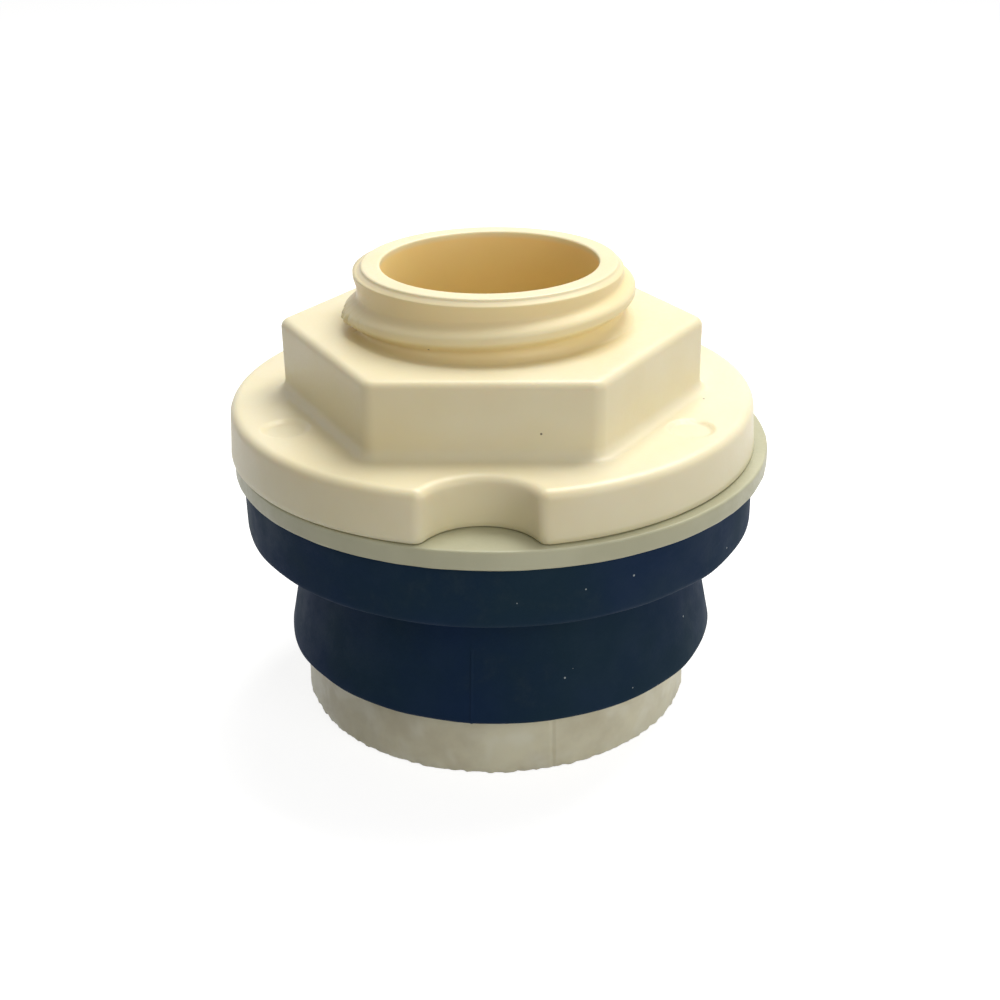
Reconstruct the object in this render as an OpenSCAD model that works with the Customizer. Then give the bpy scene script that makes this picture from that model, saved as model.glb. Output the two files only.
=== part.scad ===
// Urinal spud: a plastic inlet fitting that clamps in a hole in the china.
// A moulded body with a threaded spigot, a hexagon and a notched flange runs
// down through a friction washer and a rubber gasket into an expander nut.
// Turning the hexagon draws the nut up and squeezes the rubber in the hole.
// The body's axis is Z. The lower end of the bore, level with the nut's foot,
// is the origin. The front notch faces -Y.

/* [Body bore and threads] */
// Diameter of the water bore
bore_d = 20.2; // [16:0.1:21]
// Diameter over the roots of both outer threads
root_d = 24.7; // [24:0.1:25.6]
// Diameter over the crests of both outer threads
crest_d = 26.9; // [26:0.1:27.6]
// Axial distance between neighbouring thread crests
pitch = 3.45; // [3:0.05:4.5]
// Width of the flat on top of a thread crest
crest_w = 0.9; // [0.5:0.05:1.1]
// Slope of the thread flanks, from square to the axis
flank_angle = 30; // [20:1:35]

/* [Spigot] */
// Height of the threaded spigot above the hexagon
spigot_h = 5.5; // [4:0.1:14]
// Height of the bevel round the rim
rim_bevel_h = 0.6; // [0.2:0.1:1.2]
// Radial width of the bevel round the rim
rim_bevel_w = 0.45; // [0.1:0.05:0.8]
// Fillet between the spigot and the hexagon
spigot_fillet = 0.8; // [0.3:0.1:1.5]
// Depth of the highest thread crest at the front, below the rim
front_crest_drop = 3.6; // [3:0.1:4.5]
// Turn over which the spigot thread fades out towards the rim
fade_turn = 165; // [90:5:200]
// Place where that thread has faded out, anticlockwise from +X
fade_end = 225; // [200:5:250]

/* [Hexagon] */
// Size across the flats
hex_flats = 34.6; // [32:0.1:37]
// Height of the hexagon above the flange
hex_h = 6.9; // [5:0.1:12]
// Rounding of the six upright corners
hex_corner_r = 1.5; // [0.8:0.1:2.5]
// Rounding of the top edge
hex_edge_r = 0.8; // [0.3:0.1:1.4]
// Fillet between the hexagon and the flange
hex_fillet = 1.0; // [0.4:0.1:1.8]
// Turn of the hexagon and its notch from the front
hex_turn = -2.6; // [-10:0.1:10]

/* [Flange] */
// Diameter at the flange's lower edge
flange_d = 50; // [46:0.5:54]
// Thickness of the flange
flange_h = 4.65; // [3.5:0.05:7]
// Draft of the flange's side, as a loss of radius
flange_draft = 0.25; // [0:0.05:0.6]
// Rounding of the flange's upper edge
flange_edge_r = 0.9; // [0.4:0.1:1.4]
// Number of notches in the rim
notch_count = 2; // [1:1:2]
// Diameter of a notch
notch_d = 10.5; // [8:0.1:11]
// Depth of a notch below the flange's rim
notch_depth = 4.05; // [2.5:0.05:4.5]
// Rounding of the two lips of a notch
notch_lip_r = 1.0; // [0.4:0.1:1.4]
// Diameter of the round ejector marks
mark_d = 4; // [2.5:0.1:4.5]
// Depth of the ejector marks
mark_depth = 0.3; // [0.1:0.05:0.6]
// Distance of the ejector marks from the axis
mark_r = 20.9; // [20.5:0.1:21.5]

/* [Friction washer] */
// Outer diameter of the washer
washer_d = 51; // [47:0.5:55]
// Thickness of the washer
washer_h = 1.85; // [1:0.05:3]
// Rounding of the washer's outer edges
washer_edge_r = 0.25; // [0.1:0.05:0.4]
// Distance by which the washer lies off the axis, to the right
washer_shift = 0.75; // [0:0.05:1.2]

/* [Rubber gasket] */
// Diameter of the collar that seals on the china
collar_d = 49; // [46:0.5:53]
// Height of the collar
collar_h = 6.15; // [4:0.05:9]
// Rounding of the collar's lower edge
collar_edge_r = 0.8; // [0.3:0.1:1.5]
// Height of the skirt below the collar
skirt_h = 11.85; // [10:0.05:16]
// Diameter of the skirt at the flared lip
lip_d = 42.3; // [41:0.1:44]
// Diameter of the skirt where it leaves the collar
neck_d = 37.6; // [37:0.1:40]
// Rounding of the lip
lip_r = 0.6; // [0.3:0.1:1]
// Depth of the tapered pocket inside the skirt
pocket_h = 10.8; // [10:0.1:12]
// Distance by which the gasket lies off the axis, to the right
gasket_shift = 0.45; // [0:0.05:0.8]

/* [Expander nut] */
// Diameter of the nut's foot
foot_d = 38.4; // [37:0.1:39.5]
// Height of the foot, which shows below the skirt
foot_h = 6.5; // [4:0.1:10]
// Draft of the foot's side, as a loss of radius
foot_draft = 0.15; // [0:0.05:0.5]
// Diameter of the tapered hub where it stands on the foot
hub_base_d = 35.2; // [34:0.1:35.6]
// Height of the tapered hub inside the skirt
hub_h = 8.2; // [6:0.1:9]
// Half angle of the hub's taper
hub_taper = 15; // [8:0.5:16]
// Bevel round the foot's lower edge
foot_bevel = 0.3; // [0.1:0.1:0.8]
// Turns of the hexagon that squeeze the rubber tight
clamp_turns = 1.25; // [0.5:0.05:1.5]

/* [Clearances] */
// Clearance between the two threads, radial and along the axis
thread_gap = 0.2; // [0.1:0.05:0.4]
// Clearance round the body where a ring lies off the axis
slip_gap = 0.2; // [0.1:0.05:0.6]
// Clearance between faces that slide or press on each other
face_gap = 0.05; // [0.01:0.01:0.2]
// Clearance round the hub in the rubber pocket
hub_gap = 0.2; // [0.1:0.05:0.5]

/* [Hidden] */
$fn = 96;

// A hair, for pieces of one solid that unite, and the overrun of what cuts.
eps = 0.01;
over = 1;
// Facets of small rounded edges.
edge_fn = 48;

// A thread has this many flat steps in a turn.
turn_steps = 48;
step = 360 / turn_steps;
// The root of a ridge is sunk in its core, so that the two unite.
ridge_sink = 0.3;
// A ridge ends at this share of its height, so that no flat step dips into the core.
ridge_end = 0.05;
// Turn over which the hidden end of a ridge runs out.
runout_turn = 40;
// Turns of the ejector marks from the front.
mark_turns = [60, 120, 240, 300];

bore_r = bore_d / 2;
root_r = root_d / 2;
crest_r = crest_d / 2;
thread_depth = crest_r - root_r;
ridge_half = crest_w / 2 + thread_depth * tan(flank_angle);

// Heights, from the foot of the nut upwards.
z_lip = foot_h + face_gap;
z_seat = z_lip + skirt_h;
z_washer = z_seat + collar_h;
z_flange = z_washer + washer_h + face_gap;
z_hex = z_flange + flange_h;
z_spigot = z_hex + hex_h;
z_rim = z_spigot + spigot_h;

hex_corner = hex_flats / 2 / cos(30);
flange_r = flange_d / 2;
notch_r = notch_d / 2;
notch_centre = flange_r - notch_depth + notch_r;
front = -90 + hex_turn;

washer_hole_r = crest_r + washer_shift + slip_gap;
gasket_hole_r = crest_r + gasket_shift + slip_gap;

foot_r = foot_d / 2;
hub_base_r = hub_base_d / 2;
hub_top_r = hub_base_r - hub_h * tan(hub_taper);
pocket_mouth_r = hub_base_r + gasket_shift + hub_gap;
// The pocket tapers less than the hub, so that both agree once the rubber is squeezed.
squeezed = 1 - clamp_turns * pitch / (skirt_h + collar_h);
pocket_top_r = pocket_mouth_r - pocket_h * tan(hub_taper) * squeezed;
minor_r = root_r + thread_gap;

// One ridge of a right-hand thread, as a trapezium carried along a helix.
// mid is the ridge's height at angle 0, first and last are its ends in degrees,
// fade_in and fade_out are the turns over which it grows at each end, and grow
// widens the whole section, for the matching groove. Neighbouring turns meet at
// the root at most, so a thread too deep for its pitch gets steeper flanks.
module helix_ridge(mid, first, last, fade_in, fade_out, grow = 0) {
  steps = ceil((last - first) / step);
  turns = [for (i = [0:steps]) first + (last - first) * i / steps];
  flank_run = (thread_depth + ridge_sink) * tan(flank_angle);
  base_half = min(crest_w / 2 + flank_run, pitch / 2 - grow - eps);
  section = [
    [root_r - ridge_sink, -base_half],
    [crest_r, -crest_w / 2],
    [crest_r, crest_w / 2],
    [root_r - ridge_sink, base_half]
  ];
  function size(a) = max(ridge_end, min(1, (a - first) / fade_in, (last - a) / fade_out));
  function point(a, rz) =
    let (
      k = size(a),
      r = rz[0] > root_r ? root_r + thread_depth * k + grow : rz[0],
      z = rz[1] * k + sign(rz[1]) * grow
    ) [r * cos(a), r * sin(a), mid + pitch * a / 360 + z];
  points = [for (a = turns) for (rz = section) point(a, rz)];
  sides = [
    for (i = [0:steps - 1]) for (k = [0:3])
      let (a = 4 * i + k, b = 4 * i + (k + 1) % 4)
        for (face = [[a, b, b + 4], [a, b + 4, a + 4]]) face
  ];
  e = 4 * steps;
  ends = [[0, 3, 2], [0, 2, 1], [e, e + 1, e + 2], [e, e + 2, e + 3]];
  polyhedron(points, concat(sides, ends), convexity = 10);
}

// A ring section with one rounded outer corner, top or bottom, for revolving.
module rounded_side(r, z0, z1, edge, top = true) {
  zc = top ? z1 - edge : z0 + edge;
  translate([0, z0]) square([r - edge, z1 - z0]);
  translate([0, top ? z0 : z0 + edge]) square([r, z1 - z0 - edge]);
  translate([r - edge, zc]) circle(edge, $fn = edge_fn);
}

// The hexagon: six upright posts with rounded tops, and the prism that wraps them.
module hexagon_block() {
  post_at = hex_corner - hex_corner_r / cos(30);
  hull()
    for (a = [0:60:300])
      rotate(a) translate([post_at, 0, 0])
        rotate_extrude($fn = 32)
          intersection() {
            translate([0, z_flange + eps]) square([hex_corner_r, hex_h + flange_h - eps]);
            rounded_side(hex_corner_r, z_flange, z_spigot, hex_edge_r);
          }
}

// The concave fillet at the hexagon's foot, as a short stack of six-sided cones.
module hexagon_fillet() {
  steps = 4;
  base = hex_corner - hex_corner_r / cos(30) + hex_corner_r;
  for (i = [0:steps - 1]) {
    a0 = 90 * i / steps;
    a1 = 90 * (i + 1) / steps;
    translate([0, 0, z_hex + hex_fillet * (1 - cos(a0)) - eps])
      cylinder(
        r1 = base + hex_fillet * (1 - sin(a0)),
        r2 = base + hex_fillet * (1 - sin(a1)),
        h = hex_fillet * (cos(a0) - cos(a1)) + eps,
        $fn = 6
      );
  }
}

// A notch with rounded lips: the cutter's outline, for a notch towards +X.
module notch_outline() {
  reach = notch_r + notch_lip_r;
  inner = flange_r - notch_lip_r;
  turn = acos((notch_centre ^ 2 + inner ^ 2 - reach ^ 2) / (2 * notch_centre * inner));
  translate([notch_centre, 0]) circle(notch_r);
  for (side = [-1, 1]) {
    lip = inner * [cos(turn), side * sin(turn)];
    rim = (flange_r + over) * [cos(turn), side * sin(turn)];
    difference() {
      polygon([lip, rim, [flange_r + over, 0], [notch_centre, 0]]);
      translate(lip) circle(notch_lip_r, $fn = edge_fn);
    }
  }
}

// Core of the body: shank, flange and spigot, revolved.
module body_core() {
  rotate_extrude() {
    polygon([
      [0, 0], [root_r - rim_bevel_w, 0], [root_r, rim_bevel_h],
      [root_r, z_rim - rim_bevel_h], [root_r - rim_bevel_w, z_rim], [0, z_rim]
    ]);
    rounded_side(flange_r - flange_draft, z_flange, z_hex, flange_edge_r);
    polygon([
      [0, z_flange], [flange_r, z_flange],
      [flange_r - flange_draft, z_hex - flange_edge_r], [0, z_hex - flange_edge_r]
    ]);
    difference() {
      translate([0, z_spigot - eps]) square([root_r + spigot_fillet, spigot_fillet + eps]);
      translate([root_r + spigot_fillet, z_spigot + spigot_fillet])
        circle(spigot_fillet, $fn = edge_fn);
    }
  }
}

// The spigot's ridge starts inside the hexagon, two thread depths below its top.
module spud_body() {
  crest_mid = z_rim - front_crest_drop + pitch / 4;
  spigot_first = 360 * (z_spigot - 2 * thread_depth - crest_mid) / pitch;
  shank_first = 360 * ridge_half / pitch;
  shank_last = 360 * (z_flange - ridge_half) / pitch;
  color("ivory")
    difference() {
      union() {
        body_core();
        rotate(front + 30) hexagon_block();
        rotate(front + 30) hexagon_fillet();
        helix_ridge(crest_mid, spigot_first, fade_end, runout_turn, fade_turn);
        helix_ridge(0, shank_first, shank_last, runout_turn, runout_turn);
      }
      translate([0, 0, -over]) cylinder(r = bore_r, h = z_rim + 2 * over);
      for (i = [0:notch_count - 1])
        rotate(front + 180 * i)
          translate([0, 0, z_flange - over])
            linear_extrude(flange_h + 2 * over) notch_outline();
      for (turn = mark_turns)
        rotate(front + turn)
          translate([mark_r, 0, z_hex - mark_depth])
            cylinder(d = mark_d, h = mark_depth + over, $fn = edge_fn);
    }
}

module friction_washer() {
  color("darkkhaki")
    translate([washer_shift, 0, z_washer])
      difference() {
        rotate_extrude() {
          rounded_side(washer_d / 2, 0, washer_h / 2, washer_edge_r, top = false);
          rounded_side(washer_d / 2, washer_h / 2, washer_h, washer_edge_r);
        }
        translate([0, 0, -over]) cylinder(r = washer_hole_r, h = washer_h + 2 * over);
      }
}

module rubber_gasket() {
  color("midnightblue")
    translate([gasket_shift, 0, 0])
      difference() {
        rotate_extrude() {
          rounded_side(collar_d / 2, z_seat, z_washer, collar_edge_r, top = false);
          polygon([
            [0, z_lip], [lip_d / 2 - lip_r, z_lip], [lip_d / 2, z_lip + lip_r],
            [neck_d / 2, z_seat + eps], [0, z_seat + eps]
          ]);
          translate([lip_d / 2 - lip_r, z_lip + lip_r]) circle(lip_r, $fn = edge_fn);
        }
        translate([0, 0, z_lip - eps])
          cylinder(r1 = pocket_mouth_r, r2 = pocket_top_r, h = pocket_h + eps);
        cylinder(r = gasket_hole_r, h = z_washer + over);
      }
}

// The nut's thread runs out at both ends of the nut.
module expander_nut() {
  top = foot_h + hub_h;
  groove_first = -360;
  groove_last = 360 * (top / pitch + 1);
  color("honeydew")
    difference() {
      rotate_extrude()
        polygon([
          [0, 0], [foot_r - foot_bevel, 0], [foot_r, foot_bevel],
          [foot_r - foot_draft, foot_h], [hub_base_r, foot_h], [hub_top_r, top], [0, top]
        ]);
      translate([0, 0, -over]) cylinder(r = minor_r, h = top + 2 * over);
      helix_ridge(0, groove_first, groove_last, eps, eps, thread_gap);
    }
}

spud_body();
friction_washer();
rubber_gasket();
expander_nut();
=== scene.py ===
from math import cos, pi, radians, sin, tan

import bpy
import numpy as np
from mathutils import Matrix, Vector


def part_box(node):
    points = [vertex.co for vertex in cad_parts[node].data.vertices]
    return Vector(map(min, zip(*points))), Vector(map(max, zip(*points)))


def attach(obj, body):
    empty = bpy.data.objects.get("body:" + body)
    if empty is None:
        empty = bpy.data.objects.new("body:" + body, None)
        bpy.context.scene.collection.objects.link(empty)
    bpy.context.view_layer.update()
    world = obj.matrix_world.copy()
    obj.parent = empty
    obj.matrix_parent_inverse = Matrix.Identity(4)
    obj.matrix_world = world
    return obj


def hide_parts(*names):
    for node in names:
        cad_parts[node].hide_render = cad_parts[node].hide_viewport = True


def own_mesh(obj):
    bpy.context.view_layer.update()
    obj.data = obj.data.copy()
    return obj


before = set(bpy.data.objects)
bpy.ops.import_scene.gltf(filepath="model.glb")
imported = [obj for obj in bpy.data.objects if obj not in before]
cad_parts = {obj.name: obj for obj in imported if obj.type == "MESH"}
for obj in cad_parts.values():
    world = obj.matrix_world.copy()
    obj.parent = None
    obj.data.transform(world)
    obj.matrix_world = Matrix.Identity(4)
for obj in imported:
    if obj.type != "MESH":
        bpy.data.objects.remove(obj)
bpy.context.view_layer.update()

mm = 0.001

# The expander nut: a ring of natural polypropylene under the rubber. Its foot shows.
# Its tapered hub and its thread are hidden inside. It was moulded in a split mould,
# which left an upright line on the foot.
nut_low, nut_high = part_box("expander_nut")
foot_radius = nut_high.x
foot_height = 6.5 * mm
foot_draft = 0.15 * mm
hub_base_radius = 17.6 * mm
hub_taper = radians(15)
nut_bore_radius = 12.55 * mm
nut_columns = 420
nut_seam = radians(-74.6)

thread_pitch = 3.45 * mm
thread_depth = 1.1 * mm
crest_width = 0.9 * mm
flank_width = thread_depth * tan(radians(30))
root_radius = 12.35 * mm


def section(corners, step):
    """A closed profile in radius and height, through corners given as (radius, height, rounding).
    Each corner is an arc that touches both its sides, in six steps. The straight stretches
    between the arcs are cut into equal lengths of about step."""
    corners = np.array(corners)
    point, rounding = corners[:, :2], corners[:, 2]
    back = np.roll(point, 1, axis=0) - point
    ahead = np.roll(point, -1, axis=0) - point
    back /= np.linalg.norm(back, axis=1)[:, None]
    ahead /= np.linalg.norm(ahead, axis=1)[:, None]
    opening = np.arccos(np.clip((back * ahead).sum(axis=1), -1, 1))
    reach = rounding / np.tan(opening / 2)
    middle = (back + ahead) / np.linalg.norm(back + ahead, axis=1)[:, None]
    centre = point + middle * (rounding / np.sin(opening / 2))[:, None]
    stretches = []
    for i in range(len(point)):
        turn = pi - opening[i]
        share = np.linspace(0, 1, 7)[:, None]
        first = point[i] + back[i] * reach[i] - centre[i]
        last = point[i] + ahead[i] * reach[i] - centre[i]
        arc = centre[i] + (np.sin((1 - share) * turn) * first + np.sin(share * turn) * last) / sin(turn)
        following = (i + 1) % len(point)
        end = point[following] + back[following] * reach[following]
        cuts = max(2, round(np.linalg.norm(end - arc[-1]) / step))
        share = np.linspace(0, 1, cuts + 1)[1:-1, None]
        stretches += [arc, arc[-1] + (end - arc[-1]) * share]
    return np.concatenate(stretches)


def thread(angle, height, growth=0.0, flank=flank_width):
    """Height, from 0 on the root to 1 on the crest, of a right-hand ridge whose crest passes
    height 0 at angle 0 and climbs one pitch a turn, and the angle wound up to there. The
    distance along the axis to the nearest crest falls off over the flank in an S-curve."""
    turns = np.round(height / thread_pitch - angle / (2 * pi))
    wound = angle + 2 * pi * turns
    from_crest = np.abs(height - thread_pitch * wound / (2 * pi))
    rise = np.clip((crest_width / 2 + growth + flank - from_crest) / flank, 0, 1)
    return rise * rise * (3 - 2 * rise), wound


def ripple(angle, height, seed, finest=24):
    """A smooth unevenness between about -1 and 1: twelve waves with whole numbers of periods
    round the axis, each with its own slope along the height and its own phase."""
    draw = np.random.default_rng(seed)
    total = 0
    for turns in draw.integers(2, finest, 12):
        slope, phase = draw.uniform(-300, 300), draw.uniform(0, 2 * pi)
        total = total + np.sin(turns * angle + slope * height + phase) / 3.5
    return total


def seam_angles(columns, seam):
    """Angles of columns all round from the mould's seam, six times as close beside it."""
    fine = np.linspace(seam, seam + 2 * pi, 20001)
    off = np.minimum(fine - seam, seam + 2 * pi - fine)
    travelled = np.concatenate([[0], np.cumsum(1 + 5 * np.exp(-(off[1:] / radians(2)) ** 2))])
    return np.interp(np.linspace(0, travelled[-1], columns, endpoint=False), travelled, fine)


def seam_ridge(angle, seam, width):
    """Height between 0 and 1 of the fine ridge that the mould's seam leaves."""
    off = (angle - seam + pi) % (2 * pi) - pi
    return np.exp(-((off / width) ** 2))


def round_grid(profile, angles):
    """Angles, radii and heights of a profile carried round the axis: rows follow the profile,
    and columns follow the angles."""
    radius, height = (np.repeat(profile[:, part, None], len(angles), axis=1) for part in (0, 1))
    return np.broadcast_to(angles, radius.shape), radius, height


def placed(angle, radius, height, shift=0.0):
    """Points from cylindrical coordinates, with the axis moved by shift along X."""
    return np.stack([shift + radius * np.cos(angle), radius * np.sin(angle), height], axis=-1)


def quads(index):
    """Four-sided faces between the rows of a grid of vertex numbers, whose last column joins
    its first. They face outwards where rows run up and columns run anticlockwise."""
    beside = np.roll(index, -1, axis=1)
    return np.stack([index[:-1], beside[:-1], beside[1:], index[1:]], axis=-1).reshape(-1, 4)


def mesh_piece(name, points, *faces):
    """A smooth-shaded object at the origin, from an array of points and arrays of faces."""
    mesh = bpy.data.meshes.new(name)
    points = points.reshape(-1, 3)
    corners = np.concatenate([group.ravel() for group in faces])
    sizes = np.concatenate([np.full(len(group), group.shape[1]) for group in faces])
    mesh.vertices.add(len(points))
    mesh.vertices.foreach_set("co", points.astype(np.float32).ravel())
    mesh.loops.add(len(corners))
    mesh.loops.foreach_set("vertex_index", corners.astype(np.int32))
    mesh.polygons.add(len(sizes))
    mesh.polygons.foreach_set("loop_start", np.concatenate([[0], np.cumsum(sizes)[:-1]]).astype(np.int32))
    mesh.update(calc_edges=True)
    mesh.shade_smooth()
    piece = bpy.data.objects.new(name, mesh)
    bpy.context.scene.collection.objects.link(piece)
    return piece


def closed_ring(name, points):
    """A ring with no ends: the last row of its grid of points joins the first."""
    index = np.arange(points.shape[0] * points.shape[1]).reshape(points.shape[:2])
    return mesh_piece(name, points, quads(np.vstack([index, index[:1]])))


nut_profile = section([
    (nut_bore_radius, nut_low.z, 0.2 * mm),
    (foot_radius, nut_low.z, 0.35 * mm),
    (foot_radius - foot_draft, foot_height, 0.2 * mm),
    (hub_base_radius, foot_height, 0.2 * mm),
    (hub_base_radius - (nut_high.z - foot_height) * tan(hub_taper), nut_high.z, 0.3 * mm),
    (nut_bore_radius, nut_high.z, 0.2 * mm),
], 0.25 * mm)
angle, radius, height = round_grid(nut_profile, seam_angles(nut_columns, nut_seam))
groove, wound = thread(angle, height, growth=nut_bore_radius - root_radius)
radius = np.maximum(radius, nut_bore_radius + thread_depth * groove)
foot_side = np.clip((radius - 18.5 * mm) / (0.4 * mm), 0, 1)
radius = radius + foot_side * 0.05 * mm * ripple(angle, height, seed=5)
radius = radius - foot_side * 0.12 * mm * seam_ridge(angle, nut_seam, radians(0.6))
ragged = np.clip(1 - height / (0.6 * mm), 0, 1) * foot_side
radius = radius - ragged * 0.09 * mm * (1 + ripple(angle, 0 * height, seed=6, finest=170))
expander_nut = closed_ring("nut", placed(angle, radius, height))


def tree_of(owner):
    """The node tree of a material or a world, or the tree itself."""
    return owner if isinstance(owner, bpy.types.NodeTree) else owner.node_tree


def link(owner, source, socket):
    """A link in the owner's tree from an output to an input."""
    tree_of(owner).links.new(source, socket)


def add(owner, kind, inputs={}, **settings):
    """A shader node of a material, world or group, with its settings, and with its inputs set
    to values or linked to sockets."""
    tree = tree_of(owner)
    made = tree.nodes.new("ShaderNode" + kind)
    for name, value in settings.items():
        setattr(made, name, value)
    for name, value in inputs.items():
        if isinstance(value, bpy.types.NodeSocket):
            tree.links.new(value, made.inputs[name])
        else:
            made.inputs[name].default_value = value
    return made


def blend_colour(owner, share, first, second):
    """The colour between two colours, by a share."""
    inputs = {"Factor": share, "A": first, "B": second}
    made = add(owner, "Mix", data_type="RGBA")
    for socket in made.inputs:
        if socket.enabled and socket.name in inputs:
            value = inputs[socket.name]
            if isinstance(value, bpy.types.NodeSocket):
                link(owner, value, socket)
            else:
                socket.default_value = value
    return next(socket for socket in made.outputs if socket.enabled)


def ramp(tree, value, low, high, first=0.0, last=1.0):
    """A value carried in an S-curve from first to last as it goes from low to high."""
    limits = {"Value": value, "From Min": low, "From Max": high, "To Min": first, "To Max": last}
    return add(tree, "MapRange", limits, interpolation_type="SMOOTHSTEP").outputs["Result"]


def maths(owner, operation, first, second):
    """The number that a sum or a comparison of two numbers gives."""
    return add(owner, "Math", {0: first, 1: second}, operation=operation).outputs["Value"]


def finish(name):
    """A new material with an empty Principled shader, and the object coordinates."""
    material = bpy.data.materials.new(name)
    material.use_nodes = True
    shader = material.node_tree.nodes["Principled BSDF"]
    place = add(material, "TexCoord").outputs["Object"]
    return material, shader, place


def group_of(name, inputs, outputs):
    """An empty node group with float inputs given with their first values, and outputs given
    with their types, and its input and output nodes."""
    group = bpy.data.node_groups.new(name, "ShaderNodeTree")
    group.interface.new_socket("Place", in_out="INPUT", socket_type="NodeSocketVector")
    for socket, value in inputs.items():
        made = group.interface.new_socket(socket, in_out="INPUT", socket_type="NodeSocketFloat")
        made.default_value = value
    for socket, kind in outputs.items():
        group.interface.new_socket(socket, in_out="OUTPUT", socket_type="NodeSocket" + kind)
    return group, group.nodes.new("NodeGroupInput"), group.nodes.new("NodeGroupOutput")


# The skin that every moulding has: soft clouds in its colour, and a fine grain from the
# mould's wall. Clouds and grain are both noise, and the grain also feeds the bump.
moulded_skin, given, result = group_of(
    "moulded skin", {"Cloud scale": 90.0, "Grain scale": 2600.0, "Grain depth": 0.2},
    {"Clouds": "Float", "Grain": "Float", "Normal": "Vector"})
clouds = add(moulded_skin, "TexNoise", {
    "Vector": given.outputs["Place"], "Scale": given.outputs["Cloud scale"],
    "Detail": 4.0, "Roughness": 0.55})
grain = add(moulded_skin, "TexNoise", {
    "Vector": given.outputs["Place"], "Scale": given.outputs["Grain scale"], "Detail": 2.0, "Roughness": 0.6})
relief = add(moulded_skin, "Bump", {
    "Height": grain.outputs["Fac"], "Strength": given.outputs["Grain depth"], "Distance": 0.05 * mm})
link(moulded_skin, ramp(moulded_skin, clouds.outputs["Fac"], 0.3, 0.7), result.inputs["Clouds"])
link(moulded_skin, grain.outputs["Fac"], result.inputs["Grain"])
link(moulded_skin, relief.outputs["Normal"], result.inputs["Normal"])


def skin(material, place, **values):
    """The moulded skin's group node in a material, with its own values."""
    made = add(material, "Group", node_tree=moulded_skin)
    link(material, place, made.inputs["Place"])
    for name, value in values.items():
        made.inputs[name.replace("_", " ").capitalize()].default_value = value
    return made.outputs


def spots(material, place, centres, size):
    """A mask of small round spots: 1 within size of any of the centres, and 0 a little past it."""
    nearest = None
    for centre in centres:
        points = {0: place, 1: [value * mm for value in centre]}
        apart = add(material, "VectorMath", points, operation="DISTANCE").outputs["Value"]
        nearest = apart if nearest is None else maths(material, "MINIMUM", nearest, apart)
    return ramp(material, nearest, 0.7 * size, 1.3 * size, 1.0, 0.0)


nut_pale = (0.78, 0.74, 0.55, 1)
nut_deep = (0.62, 0.57, 0.41, 1)
nut_milky = (0.88, 0.86, 0.72, 1)

natural_plastic, shader, place = finish("natural polypropylene")
surface = skin(natural_plastic, place, cloud_scale=170.0, grain_scale=1800.0, grain_depth=0.25)
streaks = add(natural_plastic, "TexNoise", {
    "Vector": place, "Scale": 260.0, "Detail": 2.0, "Distortion": 0.4})
mottled = blend_colour(natural_plastic, surface["Clouds"], nut_deep, nut_pale)
lumps = ramp(natural_plastic, streaks.outputs["Fac"], 0.45, 0.7, 0.0, 0.5)
shader.inputs["Subsurface Weight"].default_value = 0.35
shader.inputs["Subsurface Scale"].default_value = 1.2 * mm
shader.inputs["Subsurface Radius"].default_value = (1.0, 0.8, 0.55)
colour = blend_colour(natural_plastic, lumps, mottled, nut_milky)
roughness = ramp(natural_plastic, surface["Grain"], 0.3, 0.7, 0.38, 0.55)
link(natural_plastic, colour, shader.inputs["Base Color"])
link(natural_plastic, roughness, shader.inputs["Roughness"])
link(natural_plastic, surface["Normal"], shader.inputs["Normal"])
expander_nut.data.materials.append(natural_plastic)
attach(expander_nut, "nut")
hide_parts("expander_nut")

# The rubber gasket: one dark blue moulding. Its collar seals on the china, and its flared
# skirt goes into the hole. It grips the nut's hub in a tapered pocket. Two halves of the
# mould met at a thin upright line on the skirt.
gasket_low, gasket_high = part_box("rubber_gasket")
gasket_shift = (gasket_low.x + gasket_high.x) / 2
collar_radius = (gasket_high.x - gasket_low.x) / 2
collar_height = 6.15 * mm
collar_base = gasket_high.z - collar_height
lip_radius = 21.15 * mm
neck_radius = 18.8 * mm
pocket_mouth_radius = 18.25 * mm
pocket_height = 10.8 * mm
clamp_travel = 1.25 * thread_pitch
squeezed = 1 - clamp_travel / (gasket_high.z - gasket_low.z)
pocket_top_radius = pocket_mouth_radius - pocket_height * tan(hub_taper) * squeezed
gasket_hole_radius = 14.1 * mm
gasket_columns = 480
gasket_seam = radians(-97.7)
gasket_seam_top = 13.6 * mm

gasket_profile = section([
    (pocket_mouth_radius, gasket_low.z, 0.2 * mm),
    (lip_radius, gasket_low.z, 0.5 * mm),
    (neck_radius, collar_base, 0.5 * mm),
    (collar_radius, collar_base, 0.8 * mm),
    (collar_radius, gasket_high.z, 0.3 * mm),
    (gasket_hole_radius, gasket_high.z, 0.3 * mm),
    (gasket_hole_radius, gasket_low.z + pocket_height, 0.3 * mm),
    (pocket_top_radius, gasket_low.z + pocket_height, 0.3 * mm),
], 0.75 * mm)
angle, radius, height = round_grid(gasket_profile, seam_angles(gasket_columns, gasket_seam))
outside = np.clip((radius - pocket_mouth_radius) / (0.8 * mm), 0, 1)
radius = radius + outside * 0.045 * mm * ripple(angle, height, seed=11)
outside = outside * (height < gasket_seam_top)
radius = radius + outside * 0.1 * mm * seam_ridge(angle, gasket_seam, radians(0.3))
rubber_gasket = closed_ring("gasket", placed(angle, radius, height, gasket_shift))

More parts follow.
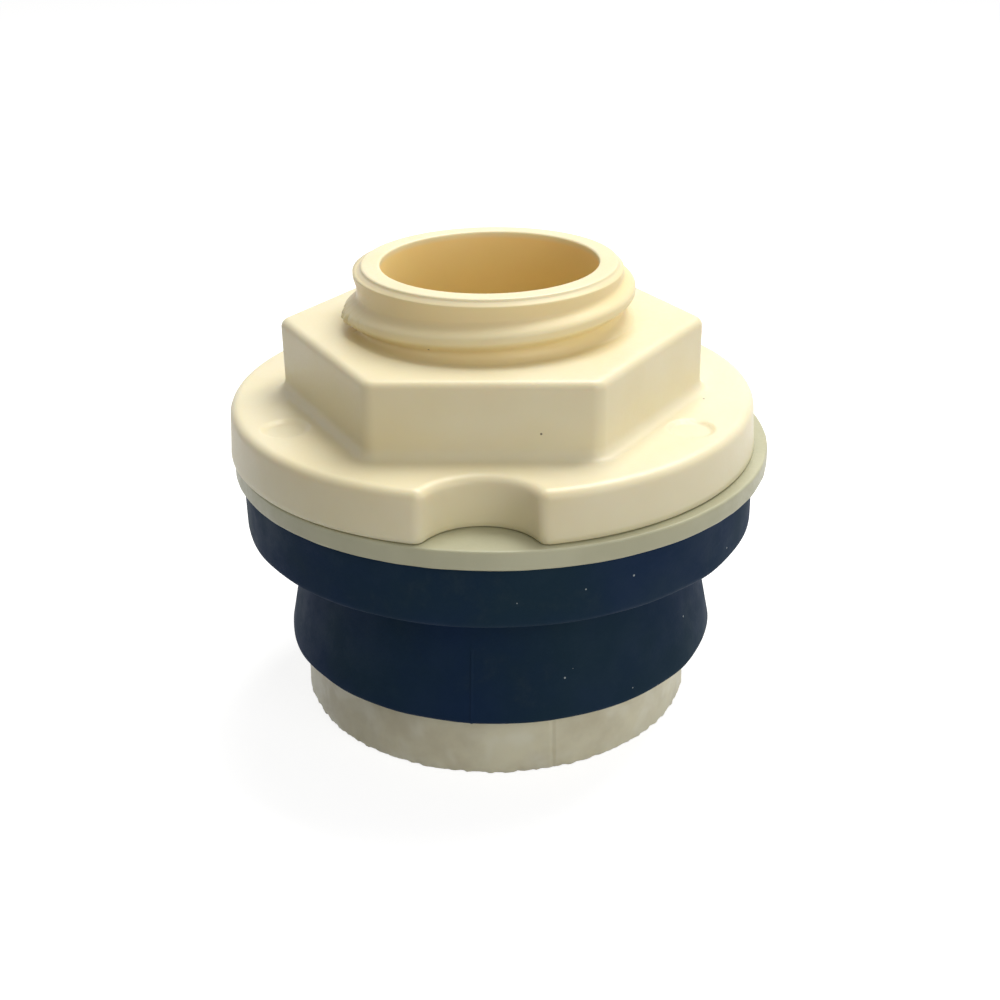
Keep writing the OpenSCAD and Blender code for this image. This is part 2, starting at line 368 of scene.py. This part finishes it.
navy = (0.005, 0.018, 0.052, 1)
slate = (0.007, 0.023, 0.040, 1)
bloom = (0.045, 0.065, 0.075, 1)
dust_pale = (0.35, 0.40, 0.42, 1)
rubber_dust = (
    (6.1, -19.6, 10.6), (6.8, -19.1, 11.3), (12.5, -17.2, 7.9), (2.6, -21.0, 7.5), (-11.6, -17.2, 8.0),
    (17.8, -10.3, 11.4), (1.8, -24.5, 21.0), (7.6, -23.4, 21.7), (11.8, -21.7, 22.0), (21.1, -13.2, 20.1))

rubber, shader, place = finish("navy rubber")
surface = skin(rubber, place, cloud_scale=70.0, grain_scale=3200.0, grain_depth=0.3)
haze = add(rubber, "TexNoise", {"Vector": place, "Scale": 160.0, "Detail": 5.0, "Roughness": 0.7})
colour = blend_colour(rubber, surface["Clouds"], navy, slate)
colour = blend_colour(rubber, ramp(rubber, haze.outputs["Fac"], 0.5, 0.85, 0.0, 0.35), colour, bloom)
colour = blend_colour(rubber, spots(rubber, place, rubber_dust, 0.09 * mm), colour, dust_pale)
link(rubber, colour, shader.inputs["Base Color"])
link(rubber, ramp(rubber, haze.outputs["Fac"], 0.3, 0.7, 0.62, 0.8), shader.inputs["Roughness"])
link(rubber, surface["Normal"], shader.inputs["Normal"])
shader.inputs["Specular IOR Level"].default_value = 0.1
rubber_gasket.data.materials.append(rubber)
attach(rubber_gasket, "gasket_stack")
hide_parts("rubber_gasket")
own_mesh(rubber_gasket)

# The friction washer: a flat ring of natural polypropylene that lets the flange slip round
# on the rubber. It was moulded, lies loose, and has slipped a little to the right.
washer_low, washer_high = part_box("friction_washer")
washer_shift = (washer_low.x + washer_high.x) / 2
washer_radius = (washer_high.x - washer_low.x) / 2
washer_hole_radius = 14.4 * mm
washer_columns = 600

washer_profile = section([
    (washer_hole_radius, washer_low.z, 0.2 * mm),
    (washer_radius, washer_low.z, 0.25 * mm),
    (washer_radius, washer_high.z, 0.2 * mm),
    (washer_hole_radius, washer_high.z, 0.2 * mm),
], 0.45 * mm)
angle, radius, height = round_grid(washer_profile, np.linspace(0, 2 * pi, washer_columns, endpoint=False))
rim_side = np.clip((radius - washer_radius + 0.4 * mm) / (0.2 * mm), 0, 1)
radius = radius + rim_side * 0.02 * mm * ripple(angle, height, seed=21, finest=60)
friction_washer = closed_ring("washer", placed(angle, radius, height, washer_shift))

washer_pale = (0.50, 0.49, 0.34, 1)
washer_deep = (0.40, 0.39, 0.26, 1)

washer_plastic, shader, place = finish("waxy polypropylene")
surface = skin(washer_plastic, place, cloud_scale=60.0, grain_scale=2200.0, grain_depth=0.15)
colour = blend_colour(washer_plastic, surface["Clouds"], washer_deep, washer_pale)
roughness = ramp(washer_plastic, surface["Grain"], 0.3, 0.7, 0.35, 0.5)
link(washer_plastic, colour, shader.inputs["Base Color"])
link(washer_plastic, roughness, shader.inputs["Roughness"])
link(washer_plastic, surface["Normal"], shader.inputs["Normal"])
shader.inputs["Subsurface Weight"].default_value = 0.25
shader.inputs["Subsurface Scale"].default_value = 1.0 * mm
shader.inputs["Subsurface Radius"].default_value = (1.0, 0.8, 0.55)
friction_washer.data.materials.append(washer_plastic)
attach(friction_washer, "gasket_stack")
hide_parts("friction_washer")

# The body: one ivory moulding. A threaded spigot, a hexagon for the spanner and a flange
# with two notches show. Below the flange a threaded shank goes down into the nut. Four
# round marks on the flange were left by the mould's ejector pins.
body_low, body_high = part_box("spud_body")
bore_radius = 10.1 * mm
front = radians(-92.6)
flange_base = 26.45 * mm
hexagon_base = 31.10 * mm
spigot_base = 38.0 * mm
rim_height = body_high.z
flange_radius = 25.0 * mm
flange_draft = 0.25 * mm
flange_edge = 0.9 * mm
notch_radius = 5.25 * mm
notch_centre = flange_radius - 4.05 * mm + notch_radius
notch_lip = 1.0 * mm
hexagon_flat = 17.3 * mm
hexagon_corner = 1.5 * mm
hexagon_edge = 0.8 * mm
hexagon_fillet = 1.0 * mm
spigot_fillet = 0.8 * mm
rim_bevel_height = 0.6 * mm
rim_bevel_width = 0.45 * mm
mark_turns = radians(60), radians(120), radians(240), radians(300)
mark_radius = 2.0 * mm
mark_depth = 0.3 * mm
mark_place = 20.9 * mm
front_crest = rim_height - 3.3 * mm
soft_flank = 1.2 * mm
fade_turn = radians(165)
fade_end = radians(225)
runout_turn = radians(40)
body_columns = 600
shank_columns = body_columns // 5


def flange_rim(angle, reach=flange_radius):
    """Distance of the flange's rim from the axis: a circle of radius reach, cut at the front
    and the back by a round notch, whose two lips are rounded. Each arc is where the ray meets
    its circle."""
    lip_centre = reach - notch_lip
    apart = notch_radius + notch_lip
    lip_turn = np.arccos((notch_centre ** 2 + lip_centre ** 2 - apart ** 2) / (2 * notch_centre * lip_centre))
    meeting = np.array([notch_centre, 0]) + (
        np.array([lip_centre * cos(lip_turn) - notch_centre, lip_centre * sin(lip_turn)])
        * notch_radius / apart)
    lip_start = np.arctan2(meeting[1], meeting[0])
    off = np.abs((angle - front + pi / 2) % pi - pi / 2)
    notch = notch_centre * np.cos(off) - np.sqrt(
        np.maximum(notch_radius ** 2 - (notch_centre * np.sin(off)) ** 2, 0))
    lip = lip_centre * np.cos(off - lip_turn) + np.sqrt(
        np.maximum(notch_lip ** 2 - (lip_centre * np.sin(off - lip_turn)) ** 2, 0))
    return np.where(off < lip_start, notch, np.where(off < lip_turn, lip, reach))


def hexagon(angle, grown):
    """Distance from the axis of a hexagon with rounded corners, grown outwards by a distance:
    a straight flat, or the arc round the fixed centre of the corner."""
    off = (angle - front + pi / 6) % (pi / 3) - pi / 6
    corner_centre = (hexagon_flat - hexagon_corner) / cos(pi / 6)
    flat_turn = np.arctan2((hexagon_flat - hexagon_corner) * tan(pi / 6), hexagon_flat + grown)
    flat = (hexagon_flat + grown) / np.cos(off)
    from_corner = pi / 6 - np.abs(off)
    arc = corner_centre * np.cos(from_corner) + np.sqrt(
        np.maximum((hexagon_corner + grown) ** 2 - (corner_centre * np.sin(from_corner)) ** 2, 0))
    return np.where(np.abs(off) < flat_turn, flat, arc)


def body_angles():
    """Angles of the columns: evenly spaced along the flange's rim, notches included, and twice
    as close by the hexagon's corners."""
    fine = np.linspace(0, 2 * pi, 40001)
    rim = placed(fine, flange_rim(fine), 0 * fine)
    length = np.linalg.norm(np.diff(rim, axis=0), axis=1)
    off_corner = pi / 6 - np.abs((fine[1:] - front + pi / 6) % (pi / 3) - pi / 6)
    length = length * (1 + 1.4 * np.exp(-(off_corner / radians(3)) ** 2))
    travelled = np.concatenate([[0], np.cumsum(length)])
    return np.interp(np.linspace(0, travelled[-1], body_columns, endpoint=False), travelled, fine)


def spigot_radius(angle, height):
    """Radius of the spigot's side: its root with the fillet at its foot, or the thread's
    ridge where that stands out further. The ridge fades out towards the rim."""
    crest_at_right = front_crest + thread_pitch / 4
    ridge, wound = thread(angle, height - crest_at_right, growth=-0.25 * mm, flank=soft_flank)
    ridge = ridge * np.clip((fade_end - wound) / fade_turn, 0, 1)
    lumps = np.exp(-((((angle - radians(-166) + pi) % (2 * pi) - pi) / radians(13)) ** 2))
    lumps = lumps * np.exp(-((height - 39.2 * mm) / (1.0 * mm)) ** 2)
    rough = 0.5 + 0.5 * ripple(angle, 12 * height, seed=31, finest=150)
    up = np.clip(height - spigot_base, 0, spigot_fillet)
    foot = spigot_fillet - np.sqrt(spigot_fillet ** 2 - (spigot_fillet - up) ** 2)
    return root_radius + np.maximum(foot, thread_depth * ridge) + 0.45 * mm * lumps * rough


angles = body_angles()
rows = []


def add_row(radius, height, inset=0.0):
    """One more row round the body. A row with an inset is moved inwards, square to itself."""
    points = placed(angles, radius + 0 * angles, height + 0 * angles)
    along = np.roll(points, -1, axis=0) - np.roll(points, 1, axis=0)
    along /= np.linalg.norm(along, axis=1)[:, None]
    rows.append(points - inset * np.stack([along[:, 1], -along[:, 0], 0 * angles], axis=-1))


def quarter(steps):
    """Sines and cosines of a quarter turn in equal steps, both ends included."""
    turn = np.linspace(0, pi / 2, steps + 1)
    return zip(np.sin(turn), np.cos(turn))


rim_below = flange_rim(angles)
drafted = flange_rim(angles, flange_radius - flange_draft)
add_row(rim_below, flange_base, 0.6 * mm)
add_row(rim_below, flange_base, 0.15 * mm)
add_row(rim_below, flange_base + 0.15 * mm)
side_top = hexagon_base - flange_edge
for share in np.linspace(0, 1, 7)[1:]:
    reach = flange_radius - flange_draft * share
    add_row(flange_rim(angles, reach), flange_base + (side_top - flange_base) * share)
for rise, run in list(quarter(6))[1:]:
    add_row(drafted, side_top + flange_edge * rise, flange_edge * (1 - run))
top_edge = np.hypot(rows[-1][:, 0], rows[-1][:, 1])
top_angle = np.arctan2(rows[-1][:, 1], rows[-1][:, 0])
hexagon_foot = hexagon(angles, hexagon_fillet)
foot_points = placed(angles, hexagon_foot, 0 * angles)
for share in np.linspace(0, 1, 24)[1:-1]:
    points = rows[-1] * 0 + placed(top_angle, top_edge, 0 * angles) * (1 - share) + foot_points * share
    sunk = 0
    for turn in mark_turns:
        mark = mark_place * np.array([cos(front + turn), sin(front + turn)])
        apart = np.linalg.norm(points[:, :2] - mark, axis=1)
        sunk = sunk + np.clip((mark_radius - apart) / (0.2 * mm) + 0.5, 0, 1)
    points[:, 2] = hexagon_base - mark_depth * sunk
    rows.append(points)
for rise, run in quarter(6):
    add_row(hexagon(angles, hexagon_fillet * (1 - rise)), hexagon_base + hexagon_fillet * (1 - run))
for height in np.linspace(hexagon_base + hexagon_fillet, spigot_base - hexagon_edge, 8)[1:-1]:
    add_row(hexagon(angles, 0), height)
for rise, run in quarter(6):
    add_row(hexagon(angles, -hexagon_edge * (1 - run)), spigot_base - hexagon_edge * (1 - rise))
spigot_foot = spigot_radius(angles, spigot_base)
for share in np.linspace(0, 1, 9)[1:-1]:
    add_row(hexagon(angles, -hexagon_edge) * (1 - share) + spigot_foot * share, spigot_base)
bevel_foot = rim_height - rim_bevel_height
for height in np.concatenate([
        spigot_base + spigot_fillet * (1 - np.cos(np.linspace(0, pi / 2, 6)[:-1])),
        np.linspace(spigot_base + spigot_fillet, bevel_foot, 34)]):
    add_row(spigot_radius(angles, height), height)
rim_outer = root_radius - rim_bevel_width
add_row(root_radius - 0.04 * mm, bevel_foot + 0.06 * mm)
add_row(root_radius - 0.12 * mm, bevel_foot + 0.1 * mm)
add_row(rim_outer + 0.12 * mm, rim_height - 0.3 * mm)
for rise, run in quarter(4):
    add_row(rim_outer - 0.2 * mm * (1 - run), rim_height - 0.2 * mm * (1 - rise))
for radius in np.linspace(rim_outer - 0.2 * mm, bore_radius + 0.2 * mm, 6)[1:-1]:
    add_row(radius, rim_height)
for rise, run in quarter(4):
    add_row(bore_radius + 0.2 * mm * (1 - rise), rim_height - 0.2 * mm * (1 - run))
for height in np.linspace(rim_height, body_low.z, 12)[1:-1]:
    add_row(bore_radius, height)
add_row(bore_radius, body_low.z + 0.15 * mm)
add_row(bore_radius + 0.15 * mm, body_low.z)
add_row(bore_radius + 0.4 * mm, body_low.z)

shank_heights = np.linspace(body_low.z + rim_bevel_height, flange_base, 120)
shank_heights = np.concatenate([[body_low.z, body_low.z], shank_heights])
shank_radii = np.full(len(shank_heights), root_radius)
shank_radii[:2] = root_radius - rim_bevel_width - np.array([0.15, 0.0]) * mm
angle, radius, height = round_grid(np.stack([shank_radii, shank_heights], axis=-1), angles[::5])
ridge, wound = thread(angle, height)
ridge_half = crest_width / 2 + flank_width
wound_low, wound_high = (2 * pi * end / thread_pitch for end in (ridge_half, flange_base - ridge_half))
ridge = ridge * np.clip((wound - wound_low) / runout_turn, 0, 1)
ridge = ridge * np.clip((wound_high - wound) / runout_turn, 0, 1)
radius[2:] += (thread_depth * ridge)[2:]
shank_points = placed(angle, radius, height)

body_points = np.stack(rows)
upper = np.arange(body_points.shape[0] * body_columns).reshape(-1, body_columns)
lower = upper.size + np.arange(shank_points.shape[0] * shank_columns).reshape(-1, shank_columns)


def strip(coarse, fine):
    """Flat faces between a ring of vertices and a ring with five times as many, each with
    one edge of the coarse ring and five of the fine one."""
    spread = np.stack([np.roll(fine, -step)[::5] for step in range(6)], axis=-1)
    return np.concatenate([coarse[:, None], spread, np.roll(coarse, -1)[:, None]], axis=1)


spud_body = mesh_piece(
    "body", np.concatenate([body_points.reshape(-1, 3), shank_points.reshape(-1, 3)]),
    quads(upper), quads(lower), strip(lower[0], upper[-1]), strip(lower[-1], upper[0])[:, ::-1])

ivory = (0.80, 0.73, 0.52, 1)
ivory_deep = (0.76, 0.67, 0.43, 1)
# Painted light: a deep warm yellow for the bore and the spigot, standing in for light bounced inside the bore
# and shining through the wall.
painted_glow_yellow = (0.88, 0.68, 0.28, 1)
dust_dark = (0.16, 0.13, 0.08, 1)
dust_places = (
    (-5.4, -11.4, 38.9), (-16.4, -10.1, 30.8), (-2.4, -18.1, 31.3), (19.7, -4.2, 31.1), (4.1, -17.5, 33.4))

ivory_plastic, shader, place = finish("ivory plastic")
surface = skin(ivory_plastic, place, cloud_scale=55.0, grain_scale=2600.0, grain_depth=0.12)
colour = blend_colour(ivory_plastic, surface["Clouds"], ivory, ivory_deep)
flat = add(ivory_plastic, "VectorMath", {0: place, 1: (1, 1, 0)}, operation="MULTIPLY")
from_axis = add(ivory_plastic, "VectorMath", {0: flat.outputs["Vector"]}, operation="LENGTH").outputs["Value"]
up = add(ivory_plastic, "SeparateXYZ", {0: place}).outputs["Z"]
# Painted light: this mask is near 1 close to the axis and below the rim's top, and fades out 15 mm from the
# axis. The bore and the spigot get the painted warm glow, and the rim's top stays pale.
painted_glow_mask = maths(
    ivory_plastic, "MULTIPLY", ramp(ivory_plastic, from_axis, 10.2 * mm, 15.0 * mm, 0.95, 0.0),
    ramp(ivory_plastic, up, 42.7 * mm, 43.3 * mm, 1.0, 0.1))
colour = blend_colour(ivory_plastic, painted_glow_mask, colour, painted_glow_yellow)
colour = blend_colour(ivory_plastic, spots(ivory_plastic, place, dust_places, 0.1 * mm), colour, dust_dark)
link(ivory_plastic, colour, shader.inputs["Base Color"])
roughness = ramp(ivory_plastic, surface["Grain"], 0.3, 0.7, 0.36, 0.48)
link(ivory_plastic, roughness, shader.inputs["Roughness"])
link(ivory_plastic, surface["Normal"], shader.inputs["Normal"])
shader.inputs["Subsurface Weight"].default_value = 0.3
shader.inputs["Subsurface Scale"].default_value = 1.5 * mm
shader.inputs["Subsurface Radius"].default_value = (1.0, 0.7, 0.35)
spud_body.data.materials.append(ivory_plastic)
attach(spud_body, "body")
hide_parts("spud_body")

# The table that the fitting stands on, and the room's light: a plain white surface, a pale
# sky, a large soft lamp high at the back right and a weak one low at the front right.
table_size = 6.0
bpy.ops.mesh.primitive_plane_add(size=table_size, location=(0, 0, 0))
table = bpy.context.object
table.name = "table"


def seen_rays(owner):
    """1 for rays that come from the camera, off a gloss or through something clear, or 0."""
    rays = add(owner, "LightPath").outputs
    seen = maths(owner, "MAXIMUM", rays["Is Camera Ray"], rays["Is Glossy Ray"])
    return maths(owner, "MAXIMUM", seen, rays["Is Transmission Ray"])


white = bpy.data.materials.new("white table")
white.use_nodes = True
white.node_tree.nodes.clear()
glow = maths(white, "MULTIPLY", seen_rays(white), 0.8)
matt = add(white, "BsdfDiffuse", {"Color": (0.5, 0.5, 0.5, 1)})
light = add(white, "Emission", {"Color": (1, 1, 1, 1), "Strength": glow})
both = add(white, "AddShader", {0: matt.outputs["BSDF"], 1: light.outputs["Emission"]})
add(white, "OutputMaterial", {"Surface": both.outputs["Shader"]})
table.data.materials.append(white)

world = bpy.data.worlds.new("room")
bpy.context.scene.world = world
world.use_nodes = True
sky = world.node_tree.nodes["Background"]
sky_light = 0.32
strength = add(world, "MapRange", {"Value": seen_rays(world), "To Min": sky_light, "To Max": 1.0})
link(world, strength.outputs["Result"], sky.inputs["Strength"])
sky.inputs["Color"].default_value = (1, 1, 1, 1)


def lamp(name, place, size, power, colour=(1, 1, 1)):
    """A square soft lamp that faces the middle of the object."""
    light = bpy.data.lights.new(name, "AREA")
    light.size, light.energy, light.color = size, power, colour
    holder = bpy.data.objects.new(name, light)
    bpy.context.scene.collection.objects.link(holder)
    holder.location = place
    holder.rotation_euler = (Vector((0, 0, 0.02)) - Vector(place)).to_track_quat("-Z", "Y").to_euler()


lamp("window", (0.09, 0.12, 0.34), 0.22, 1.35, (1, 0.99, 0.96))
lamp("room lamp", (0.2, -0.26, 0.14), 0.2, 0.32, (1, 0.98, 0.93))

# The camera: it looks down on the front of the object from a hand's breadth away, turned
# a little about its own line of sight.
camera_elevation = radians(25.20)
camera_distance = 147.3 * mm
camera_roll = radians(1.01)
camera_target = Vector((0, 0, 19.1 * mm))
camera = bpy.data.objects.new("camera", bpy.data.cameras.new("camera"))
bpy.context.scene.collection.objects.link(camera)
back = Vector((0, -cos(camera_elevation), sin(camera_elevation)))
camera.matrix_world = (
    Matrix.Translation(camera_target + back * camera_distance)
    @ Matrix.Rotation(pi / 2 - camera_elevation, 4, "X")
    @ Matrix.Rotation(-camera_roll, 4, "Z"))
camera.data.sensor_width = 36
camera.data.lens = 53.57
camera.data.shift_x = 0.0063
camera.data.clip_start = 0.01
camera.data.clip_end = 20
bpy.context.scene.camera = camera
bpy.context.scene.view_settings.view_transform = "Standard"
